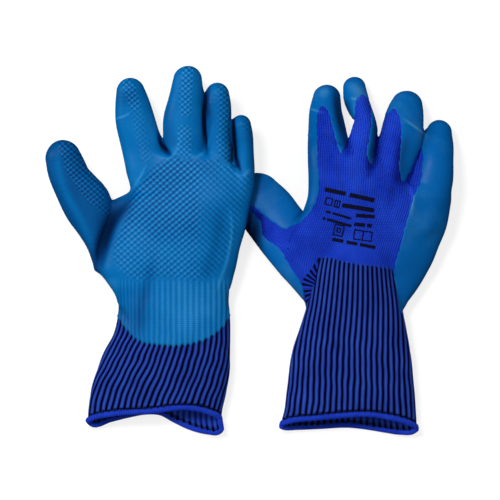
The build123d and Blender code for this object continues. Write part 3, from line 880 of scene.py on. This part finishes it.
# ---- Pieces ----
def add_piece(name, verts, faces, normals, values, material, slot, nodes):
    """A mesh object from layout millimetres, with vector attributes on its vertices."""
    verts = (np.asarray(verts, float) + SHIFT) / 1000
    verts[:, 2] = np.maximum(verts[:, 2], 0.00005)  # soft, so flat where it lies on the floor
    faces = np.asarray(faces)
    mesh = bpy.data.meshes.new(name)
    mesh.vertices.add(len(verts))
    mesh.vertices.foreach_set("co", verts.astype(np.float32).ravel())
    mesh.loops.add(faces.size)
    mesh.loops.foreach_set("vertex_index", faces.astype(np.int32).ravel())
    mesh.polygons.add(len(faces))
    mesh.polygons.foreach_set("loop_start", np.arange(0, faces.size, faces.shape[1], dtype=np.int32))
    mesh.update(calc_edges=True)
    mesh.validate()
    mesh.shade_smooth()
    for key, value in values.items():
        held = mesh.attributes.new(key, "FLOAT_VECTOR", "POINT")
        held.data.foreach_set("vector", np.asarray(value, np.float32).ravel())
    if normals is not None:
        mesh.normals_split_custom_set_from_vertices(np.asarray(normals, float).tolist())
    obj = bpy.data.objects.new(name, mesh)
    bpy.context.scene.collection.objects.link(obj)
    mesh.materials.append(material)
    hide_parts(*nodes)
    return obj


def only(keep, quads, *per_vertex):
    faces = quads[keep]
    used, where = np.unique(faces, return_inverse=True)
    return where.reshape(faces.shape), [a[used] for a in per_vertex]


def split_place(side, name):
    """A point on the digit's axis where its own piece starts, and its heading in plan."""
    path = digit_path(side, name, 80)
    k = int(np.argmin(np.hypot(*(path[:, :2] - np.array(SPLIT[side][name])).T)))
    k = min(max(k, 2), len(path) - 3)
    ahead = path[k + 2, :3] - path[k - 2, :3]
    ahead[2] = 0
    return path[k, :3], ahead / np.linalg.norm(ahead)


def owners(side, points):
    """Number of the digit each point belongs to, -1 for the hand."""
    own = np.full(len(points), -1)
    best = np.full(len(points), 5.0)
    for i, name in enumerate(FINGERS):
        gap = tube_field(points[:, 0], points[:, 1], points[:, 2], digit_path(side, name, 14))
        place, ahead = split_place(side, name)
        mine = (gap < best) & ((points - place) @ ahead > 0)
        best[mine] = gap[mine]
        own[mine] = i
    return own


# Where the ribs start on the right glove's back: (x, y)
RIB_START = (
    (42.3, -27.8), (46.5, -22), (51.5, -15.4), (56.4, -7.9), (62.3, -5.4), (68, -6.2), (78.9, -9.5),
    (91.3, -12),
    (103.8, -12.9), (117.9, -15.4), (124, -17),
)


def cuff_top(side, x, upper):
    if side == "left":
        return np.full(len(x), CUFF_TOP["left"])
    start = np.array(RIB_START)
    return np.interp(x, start[:, 0], start[:, 1]) * upper + (1 - upper) * CUFF_TOP["right"]


def make_skins(side):
    verts, quads, normals = skin(side)
    own = owners(side, verts)
    face_own = own[quads].max(1)
    depth = coat_depth(side, verts, normals)
    height, phase, mask, tint = relief(side, verts, normals)
    coat = verts + normals * (-1.1 + (1.1 + FILM + height) * ramp(depth, -0.9, 0.7))[:, None]
    coat_normals = corner_normals(coat, quads)
    across, along = knit_grid(side, verts)
    # The knit takes the same painted shade and highlight as the coating (first value of tint).
    knit_tint = tint * (1, 0, 0)
    lumps = np.zeros(len(verts))
    if side == "right":
        # Ribs that fan round the heel of the thumb, left of the cuff's fold
        cx, cy = 62.0, -33.0  # the point that they fan from
        x, y = verts[:, 0], verts[:, 1]
        start = np.array(RIB_START)
        below = np.interp(x, start[:, 0], start[:, 1], left=-40) - y
        fan = ramp(below, -0.3, 0.6) * ramp(-x, -62, -58) * (normals[:, 2] > -0.2)
        turn = np.arctan2(y - cy, x - cx) * 4.2
        knit_tint[:, 1], knit_tint[:, 2] = fan, turn
        lumps = fan * (0.5 * np.cos(2 * np.pi * turn) - 0.2)
    under = height * (mask[:, 2] < 0.5)
    liner = verts + normals * (0.6 * under + lumps - 0.02)[:, None]
    liner_normals = corner_normals(liner, quads)
    knit = np.column_stack([across, along, np.zeros(len(verts))])
    field = body_field(verts[:, 0], verts[:, 1], verts[:, 2], CUFF[side])
    upper = ramp(normals[:, 2], -0.2, 0.2)
    hidden = (verts[:, 1] < cuff_top(side, verts[:, 0], upper) - 1.5) & (field < 0.6)
    deep = depth[quads]
    coat_faces = (deep.max(1) > -0.8) & (verts[quads, 1].min(1) > -88)
    liner_faces = (deep.min(1) < 1.4) & ~hidden[quads].all(1)
    coat_mat = COAT_LEFT if side == "left" else COAT_RIGHT
    coat_values = {"phase": phase, "mask": mask, "tint": tint, "place": verts}
    for i in range(-1, 5):
        mine = face_own == i
        part = "hand" if i < 0 else FINGERS[i]
        for kind, keep, v, n, values, mat, slot in (
            ("coat", coat_faces, coat, coat_normals, coat_values, coat_mat, "coating"),
            ("knit", liner_faces, liner, liner_normals, {"knit": knit, "tint": knit_tint}, KNIT, "liner"),
        ):
            if not (mine & keep).any():
                # A digit coated all round: its knitted stall lies inside the film.
                keep, v = np.ones(len(quads), bool), verts - 1.0 * normals
            faces, (pv, pn, *rest) = only(mine & keep, quads, v, n, *values.values())
            base = "palm" if i < 0 and kind == "coat" else part
            node = f"{side}_{base}_{'coating' if kind == 'coat' else 'liner'}"
            obj = add_piece(f"{side}_{part}_{kind}", pv, faces, pn, dict(zip(values, rest)), mat, slot, [node])
            if i < 0:
                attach(obj, f"{side}_hand")
            else:
                place, ahead = split_place(side, part)
                start = (place + ahead * BEND_START + SHIFT) / 1000
                end = (place + ahead * BEND + SHIFT) / 1000
                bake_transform(obj)


def ring_points(side, angle, y, offset):
    """Points round the cuff at the given angles and heights, moved out of its surface by offset."""
    left, right, mid, half, roll = through(CUFF[side], y).T
    cx, w = 0.5 * (left + right), 0.5 * (right - left)
    ca, sa = np.cos(angle), np.sin(angle)
    across, up = signed_power(ca, 1 / ARC_POWER) * w, signed_power(sa, 1 / ARC_POWER) * half
    na = np.sign(ca) * np.abs(across / w) ** (SECTION_POWER - 1) / w
    nu = np.sign(sa) * np.abs(up / half) ** (SECTION_POWER - 1) / half
    length = np.hypot(na, nu)
    across, up = across + offset * na / length, up + offset * nu / length
    c, s = np.cos(np.radians(roll)), np.sin(np.radians(roll))
    return np.stack([cx + across * c - up * s, y, mid + across * s + up * c], -1)


def mouth_y(side, angle):
    """The cuff's lower edge at each angle round it."""
    x = ring_points(side, angle, np.full(len(angle), -140.0), 0.0)[:, 0]
    upper, lower = (np.array(row) for row in MOUTH[side])
    top = through(upper, x)[:, 0]
    low = through(lower, x)[:, 0]
    share = ramp(np.sin(angle), -0.12, 0.12)
    return top * share + low * (1 - share)


def grid_faces(rows, columns, close_rows=False, close_columns=False):
    """Quads of a grid of vertices, which may close round its rows or its columns."""
    down, across = np.arange(rows - (not close_rows)), np.arange(columns - (not close_columns))
    i, j = np.meshgrid(down, across, indexing="ij")
    i2, j2 = (i + 1) % rows, (j + 1) % columns
    corners = [i * columns + j, i2 * columns + j, i2 * columns + j2, i * columns + j2]
    return np.stack(corners, -1).reshape(-1, 4)


def circle(around):
    """Angles round a yarn's own section, as a column."""
    return np.arange(around)[:, None] / around * 2 * np.pi


INNER_TOP = -62.0  # how far up the inside of the cuff is modelled
HEM_RADIUS = 2.35
HEM_TURNS = 128
THREADS, THREAD_STEPS, THREAD_SIDES = 7, 160, 6


def make_cuff(side):
    """The rib cuff: its outside from the hand to the mouth, and its inside back up to INNER_TOP."""
    per_rib = 10
    columns = RIBS * per_rib
    rows = 130
    share = np.arange(columns) / columns
    angle = np.interp(share, ARC_SHARE, ARC_ANGLE)
    bottom = mouth_y(side, angle)
    x_top = ring_points(side, angle, np.full(columns, -12.0), 0.0)[:, 0]
    top = cuff_top(side, x_top, ramp(np.sin(angle), -0.25, 0.25))
    v = np.linspace(0, 1, rows)[:, None]
    y = top * (1 - v) + bottom * v
    phase = np.broadcast_to(share * RIBS, y.shape)
    x_rough = ring_points(side, np.tile(angle, rows), y.ravel(), 0.0)[:, 0].reshape(y.shape)
    # Ribs on the back of the right cuff keep their pitch up to the wrist, as those at the sides turn under.
    spread = (0.32 if side == "right" else 0.0) * ramp(y, -115, -10)
    moved = share - rib_wander(side, x_rough, y) / RIBS
    moved = moved + spread * np.sin(2 * np.pi * (share - 0.75)) / (2 * np.pi)
    turned = np.interp(moved % 1.0, ARC_SHARE, ARC_ANGLE)
    bottom = mouth_y(side, turned[-1])
    y = top * (1 - v) + bottom * v
    crest = (0.5 + 0.5 * np.cos(2 * np.pi * phase)) ** 0.6
    gather = ramp(y - bottom, 0.0, 7.0)
    under = ramp(top - y, 0.0, 1.2)
    offset = (-0.75 + 1.0 * crest * (0.45 + 0.55 * gather)) * under - 0.9 * (1 - under)
    offset = offset + uneven(x_rough, y) - SHRINK * ramp(y, -42, -12)
    if side == "left":
        offset -= 0.5 * ramp(y - coat_low(x_rough), 0.5, 4.0)
    outer = ring_points(side, turned.ravel(), y.ravel(), offset.ravel())
    inner_rows = rows // 2
    vi = np.linspace(0, 1, inner_rows)[:, None]
    yi = bottom * (1 - vi) + INNER_TOP * vi
    inner_offset = -2.0 - 0.5 * crest[-1] * np.ones_like(yi) + uneven(x_rough[:1], yi)
    inner = ring_points(side, np.tile(turned[-1], inner_rows), yi.ravel(), inner_offset.ravel())
    verts = np.vstack([outer, inner])
    faces = grid_faces(rows + inner_rows, columns, close_columns=True)
    # Black stitches run along the hem; inside the cuff hardly anything but the blue yarn shows
    dashes = 0.55 + 0.45 * np.cos(2 * np.pi * 2 * share * RIBS)
    show = np.r_[
        (-dashes * ramp(bottom + 4.9 - y, 0.0, 1.2)).ravel(),
        (0.62 * ramp(yi - bottom, 4.2, 5.4) - 0.8 * dashes * ramp(bottom + 4.6 - yi, 0.0, 0.8)).ravel(),
    ]
    phases = np.r_[phase.ravel(), np.tile(share * RIBS, inner_rows) + 0.5]
    along = np.r_[y.ravel(), yi.ravel()]
    values = {"ribs": np.column_stack([phases, along, show])}
    normals = corner_normals(verts, faces)
    name, node = f"{side}_rib_cuff_knit", f"{side}_rib_cuff"
    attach(add_piece(name, verts, faces, normals, values, RIB, "rib_knit", [node]), f"{side}_hand")


def make_hem(side):
    """Overlocked hem: a soft roll of yarn round the mouth."""
    around, columns = ((16, 960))
    share = np.arange(columns) / columns
    angle = np.interp(share, ARC_SHARE, ARC_ANGLE)
    edge = mouth_y(side, angle)
    core = ring_points(side, angle, edge - 0.4, np.full(columns, -0.9))
    out = ring_points(side, angle, edge - 0.4, np.full(columns, 0.1)) - core
    out /= np.linalg.norm(out, axis=1, keepdims=True)
    run = np.r_[0, np.cumsum(np.linalg.norm(np.diff(core, axis=0), axis=1))]
    turns = run / (run[-1] + np.linalg.norm(core[0] - core[-1])) * HEM_TURNS
    forward = np.roll(core, -1, axis=0) - np.roll(core, 1, axis=0)
    forward /= np.linalg.norm(forward, axis=1, keepdims=True)
    second = np.cross(forward, out)
    psi = circle(around)
    radius = HEM_RADIUS + 0.13 * np.cos(2 * np.pi * (turns[None] + 0.12 * np.sin(psi)))
    radius = radius + 0.12 * np.sin(run / 7.0)[None]
    spoke = np.cos(psi)[..., None] * out[None] * 0.92 + np.sin(psi)[..., None] * second[None]
    ring = core[None] + radius[..., None] * spoke
    verts = ring.reshape(-1, 3)
    faces = grid_faces(around, columns, True, True)[:, [0, 3, 2, 1]]
    normals = corner_normals(verts, faces)
    if ((verts - np.tile(core, (around, 1))) * normals).sum() < 0:
        faces, normals = faces[:, ::-1], -normals
    # A few black yarns show on the side that faces the ribs.
    facing = ((ring - core[None]) @ np.array([0, 1.0, 0])) / 2.15
    black = ramp(facing, 0.72, 0.9) * ramp(np.cos(2 * np.pi * share * RIBS)[None] * -1, -0.2, 0.5)
    round_tube = np.repeat(psi[:, 0] * 2.15, columns)
    values = {"ribs": np.column_stack([np.tile(turns, around), round_tube, black.ravel()])}
    name, node = f"{side}_hem_roll", f"{side}_cuff_hem"
    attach(add_piece(name, verts, faces, normals, values, HEM, "hem_yarn", [node]), f"{side}_hand")


def make_threads(side):
    """Elastic threads laid in along the inside of the cuff."""
    threads, faces = [], []
    steps, sides = THREAD_STEPS, THREAD_SIDES
    angle, psi = np.linspace(-np.pi, np.pi, steps, endpoint=False), circle(sides)
    for n in range(THREADS):
        y0 = np.full(steps, -120.0 + 10 * n) + 0.5 * np.sin(3 * angle)
        core = ring_points(side, angle, y0, np.full(steps, -2.9))
        out = ring_points(side, angle, y0, np.full(steps, -1.9)) - core
        pull = 0.32 + 0.05 * np.cos(9 * angle)
        spoke = np.cos(psi)[..., None] * out[None] + np.sin(psi)[..., None] * np.array([0, 1.0, 0])
        threads.append((core[None] + pull[None, :, None] * spoke).reshape(-1, 3))
        faces.append(n * sides * steps + grid_faces(sides, steps, True, True))
    name, node = f"{side}_elastic_threads", f"{side}_cuff_elastics"
    verts, faces = np.vstack(threads), np.vstack(faces)
    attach(add_piece(name, verts, faces, None, {}, ELASTIC, "elastic", [node]), f"{side}_hand")


# ---- Printed block: plain bars and frames, nothing lettered ----
# Rows of bars: start, end, height, lengths of the bars and gaps in turn as shares of the row
PRINT_ROWS = (
    ((61.4, 48.6), (102.3, 39.6), 3.6, (0.42, 0.08, 0.5)),
    ((75.8, 35.6), (102.0, 31.3), 3.6, (1.0,)),
    ((87.2, 27.2), (102.4, 26.2), 3.0, (1.0,)),
    ((62.4, 30.6), (83.0, 24.6), 1.9, (0.2, 0.06, 0.74)),
    ((59.8, 25.0), (83.4, 18.4), 2.2, (0.1, 0.05, 0.85)),
    ((85.9, 20.0), (100.2, 18.6), 3.0, (0.6, 0.12, 0.28)),
    ((67.8, 7.6), (103.2, 0.8), 2.8, (0.26, 0.07, 0.25, 0.06, 0.36)),
)
# Frames: centre, width, height, tilt in degrees, bars across
PRINT_BOXES = (
    ((64.8, 38.6), 6.4, 6.4, -13, 0), ((71.6, 36.6), 5.0, 6.4, -13, 1), ((73.0, 15.0), 8.6, 9.6, -12, 0),
    ((73.0, 15.0), 3.6, 4.2, -12, 0), ((93.0, 10.6), 15.6, 8.6, -8, 1),
)
PRINT_LINE = 1.05  # width of a frame's line
LEFT_BLOCK = -148.0  # the left glove's block from the right one's, in x
BLOCK_MIRROR = 164  # twice the x that the left block is mirrored about


def printed(x, y):
    """True where the block is inked."""
    ink = np.zeros(x.shape, bool)
    for (x0, y0), (x1, y1), high, runs in PRINT_ROWS:
        length = math.hypot(x1 - x0, y1 - y0)
        c, s = (x1 - x0) / length, (y1 - y0) / length
        u = (x - x0) * c + (y - y0) * s
        w = -(x - x0) * s + (y - y0) * c
        at = 0.0
        for n, part in enumerate(runs):
            if n % 2 == 0:
                ink |= (u >= at * length) & (u <= (at + part) * length) & (np.abs(w) <= high / 2)
            at += part
    for (cx, cy), wide, high, tilt, bars in PRINT_BOXES:
        c, s = math.cos(math.radians(tilt)), math.sin(math.radians(tilt))
        u = (x - cx) * c + (y - cy) * s
        w = -(x - cx) * s + (y - cy) * c
        inside = (np.abs(u) <= wide / 2) & (np.abs(w) <= high / 2)
        core = (np.abs(u) <= wide / 2 - PRINT_LINE) & (np.abs(w) <= high / 2 - PRINT_LINE)
        ink |= inside & ~core
        if bars:
            ink |= inside & (np.abs(u) <= PRINT_LINE / 2)
    return ink


def make_print(side):
    """A thin film of ink that lies on the knit of the back, cut into the block's bars and frames."""
    cell = 0.42
    dx = 0.0 if side == "right" else LEFT_BLOCK
    x = np.arange(58, 106, cell)
    y = np.arange(-3, 53, cell)
    z = np.arange(-2, 58, 0.8)
    f = glove_field(side, (x + dx)[:, None, None], y[None, :, None], z[None, None, :])
    inside = f < 0
    if side == "right":
        k = len(z) - 1 - np.argmax(inside[:, :, ::-1], axis=2)
        other = np.minimum(k + 1, len(z) - 1)
    else:
        k = np.argmax(inside, axis=2)
        other = np.maximum(k - 1, 0)
    i, j = np.indices(k.shape)
    fa, fb = f[i, j, k], f[i, j, other]
    height = z[k] + (z[other] - z[k]) * np.clip(fa / np.where(fa == fb, 1, fa - fb), 0, 1)
    grid_x, grid_y = np.meshgrid(x, y, indexing="ij")
    place = np.stack([grid_x + dx, grid_y, height], -1).reshape(-1, 3)
    faces = grid_faces(len(x), len(y))
    normals = corner_normals(place, faces)
    if side == "left":
        faces, normals = faces[:, ::-1], -normals
    lift, _, _, _ = relief(side, place, normals)
    place = place + normals * (0.6 * lift + 0.14)[:, None]
    middle = (place[faces].mean(1) - (dx, 0, 0))[:, :2]
    if side == "left":
        middle[:, 0] = BLOCK_MIRROR - middle[:, 0]
    keep = printed(middle[:, 0], middle[:, 1])
    where, (pv, pn) = only(keep, faces, place, normals)
    obj = add_piece(f"{side}_back_marks", pv, where, pn, {}, INK, "print", [f"{side}_back_print"])
    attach(obj, f"{side}_hand")


for side in ("left", "right"):
    make_skins(side)
    make_cuff(side)
    make_hem(side)
    make_threads(side)
    make_print(side)

# ---- Floor, light and camera ----
scene = bpy.context.scene
scene.view_settings.view_transform = "Standard"
scene.view_settings.look = "None"

floor_mesh = bpy.data.meshes.new("floor")
floor_mesh.from_pydata([(-6, -6, 0), (6, -6, 0), (6, 6, 0), (-6, 6, 0)], [], [(0, 1, 2, 3)])
floor = bpy.data.objects.new("floor", floor_mesh)
scene.collection.objects.link(floor)
paper = Shader("floor_paper", Roughness=0.9, Specular_IOR_Level=0.0, Emission_Strength=0.78)
paper.bsdf.inputs["Emission Color"].default_value = (1, 1, 1, 1)
floor_mesh.materials.append(
    paper.finish(paper.mix(paper.noise(3.0), (0.26, 0.26, 0.26, 1), (0.28, 0.28, 0.28, 1)))
)
floor.visible_diffuse = False  # the light comes from above only, so the rounded sides stay dark
floor.visible_glossy = False

# Soft light from above that fades towards the horizon
world = bpy.data.worlds.new("studio")
world.use_nodes = True
tree = world.node_tree
sky = tree.nodes["Background"]
where = tree.nodes.new("ShaderNodeTexCoord")
split = tree.nodes.new("ShaderNodeSeparateXYZ")
fade = tree.nodes.new("ShaderNodeMapRange")
seen = tree.nodes.new("ShaderNodeLightPath")
pick = tree.nodes.new("ShaderNodeMix")
fade.inputs["From Min"].default_value, fade.inputs["From Max"].default_value = 0.0, 1.0
fade.inputs["To Min"].default_value, fade.inputs["To Max"].default_value = 0.06, 0.62
pick.inputs[3].default_value = 0.95
tree.links.new(where.outputs["Generated"], split.inputs[0])
tree.links.new(split.outputs[2], fade.inputs["Value"])
tree.links.new(seen.outputs["Is Camera Ray"], pick.inputs[0])
tree.links.new(fade.outputs[0], pick.inputs[2])
tree.links.new(pick.outputs[0], sky.inputs["Strength"])
sky.inputs["Color"].default_value = (1, 1, 1, 1)
scene.world = world


def lamp(name, place, target, size, power):
    data = bpy.data.lights.new(name, "AREA")
    data.shape, data.size, data.energy = "DISK", size, power
    obj = bpy.data.objects.new(name, data)
    obj.location = place
    obj.rotation_mode = "QUATERNION"
    obj.rotation_quaternion = (Vector(target) - Vector(place)).to_track_quat("-Z", "Y")
    scene.collection.objects.link(obj)


lamp("key", (-0.55, 0.75, 1.9), (0, 0, 0), 0.45, 27.0)
lamp("side", (-1.9, 0.25, 1.05), (0, 0, 0), 0.8, 16.0)

DISTANCE = 3.0
VIEW_WIDTH = 0.415  # metres across the picture at the gloves
cam_data = bpy.data.cameras.new("camera")
cam_data.lens = 36 * DISTANCE / VIEW_WIDTH
cam_data.sensor_width = 36
cam_data.clip_end = 50
cam = bpy.data.objects.new("camera", cam_data)
cam.location = (SHIFT[0] / 1000, (SHIFT[1] - 1.245) / 1000, DISTANCE + 0.02)
cam.rotation_euler = (0, 0, 0)
scene.collection.objects.link(cam)
scene.camera = cam
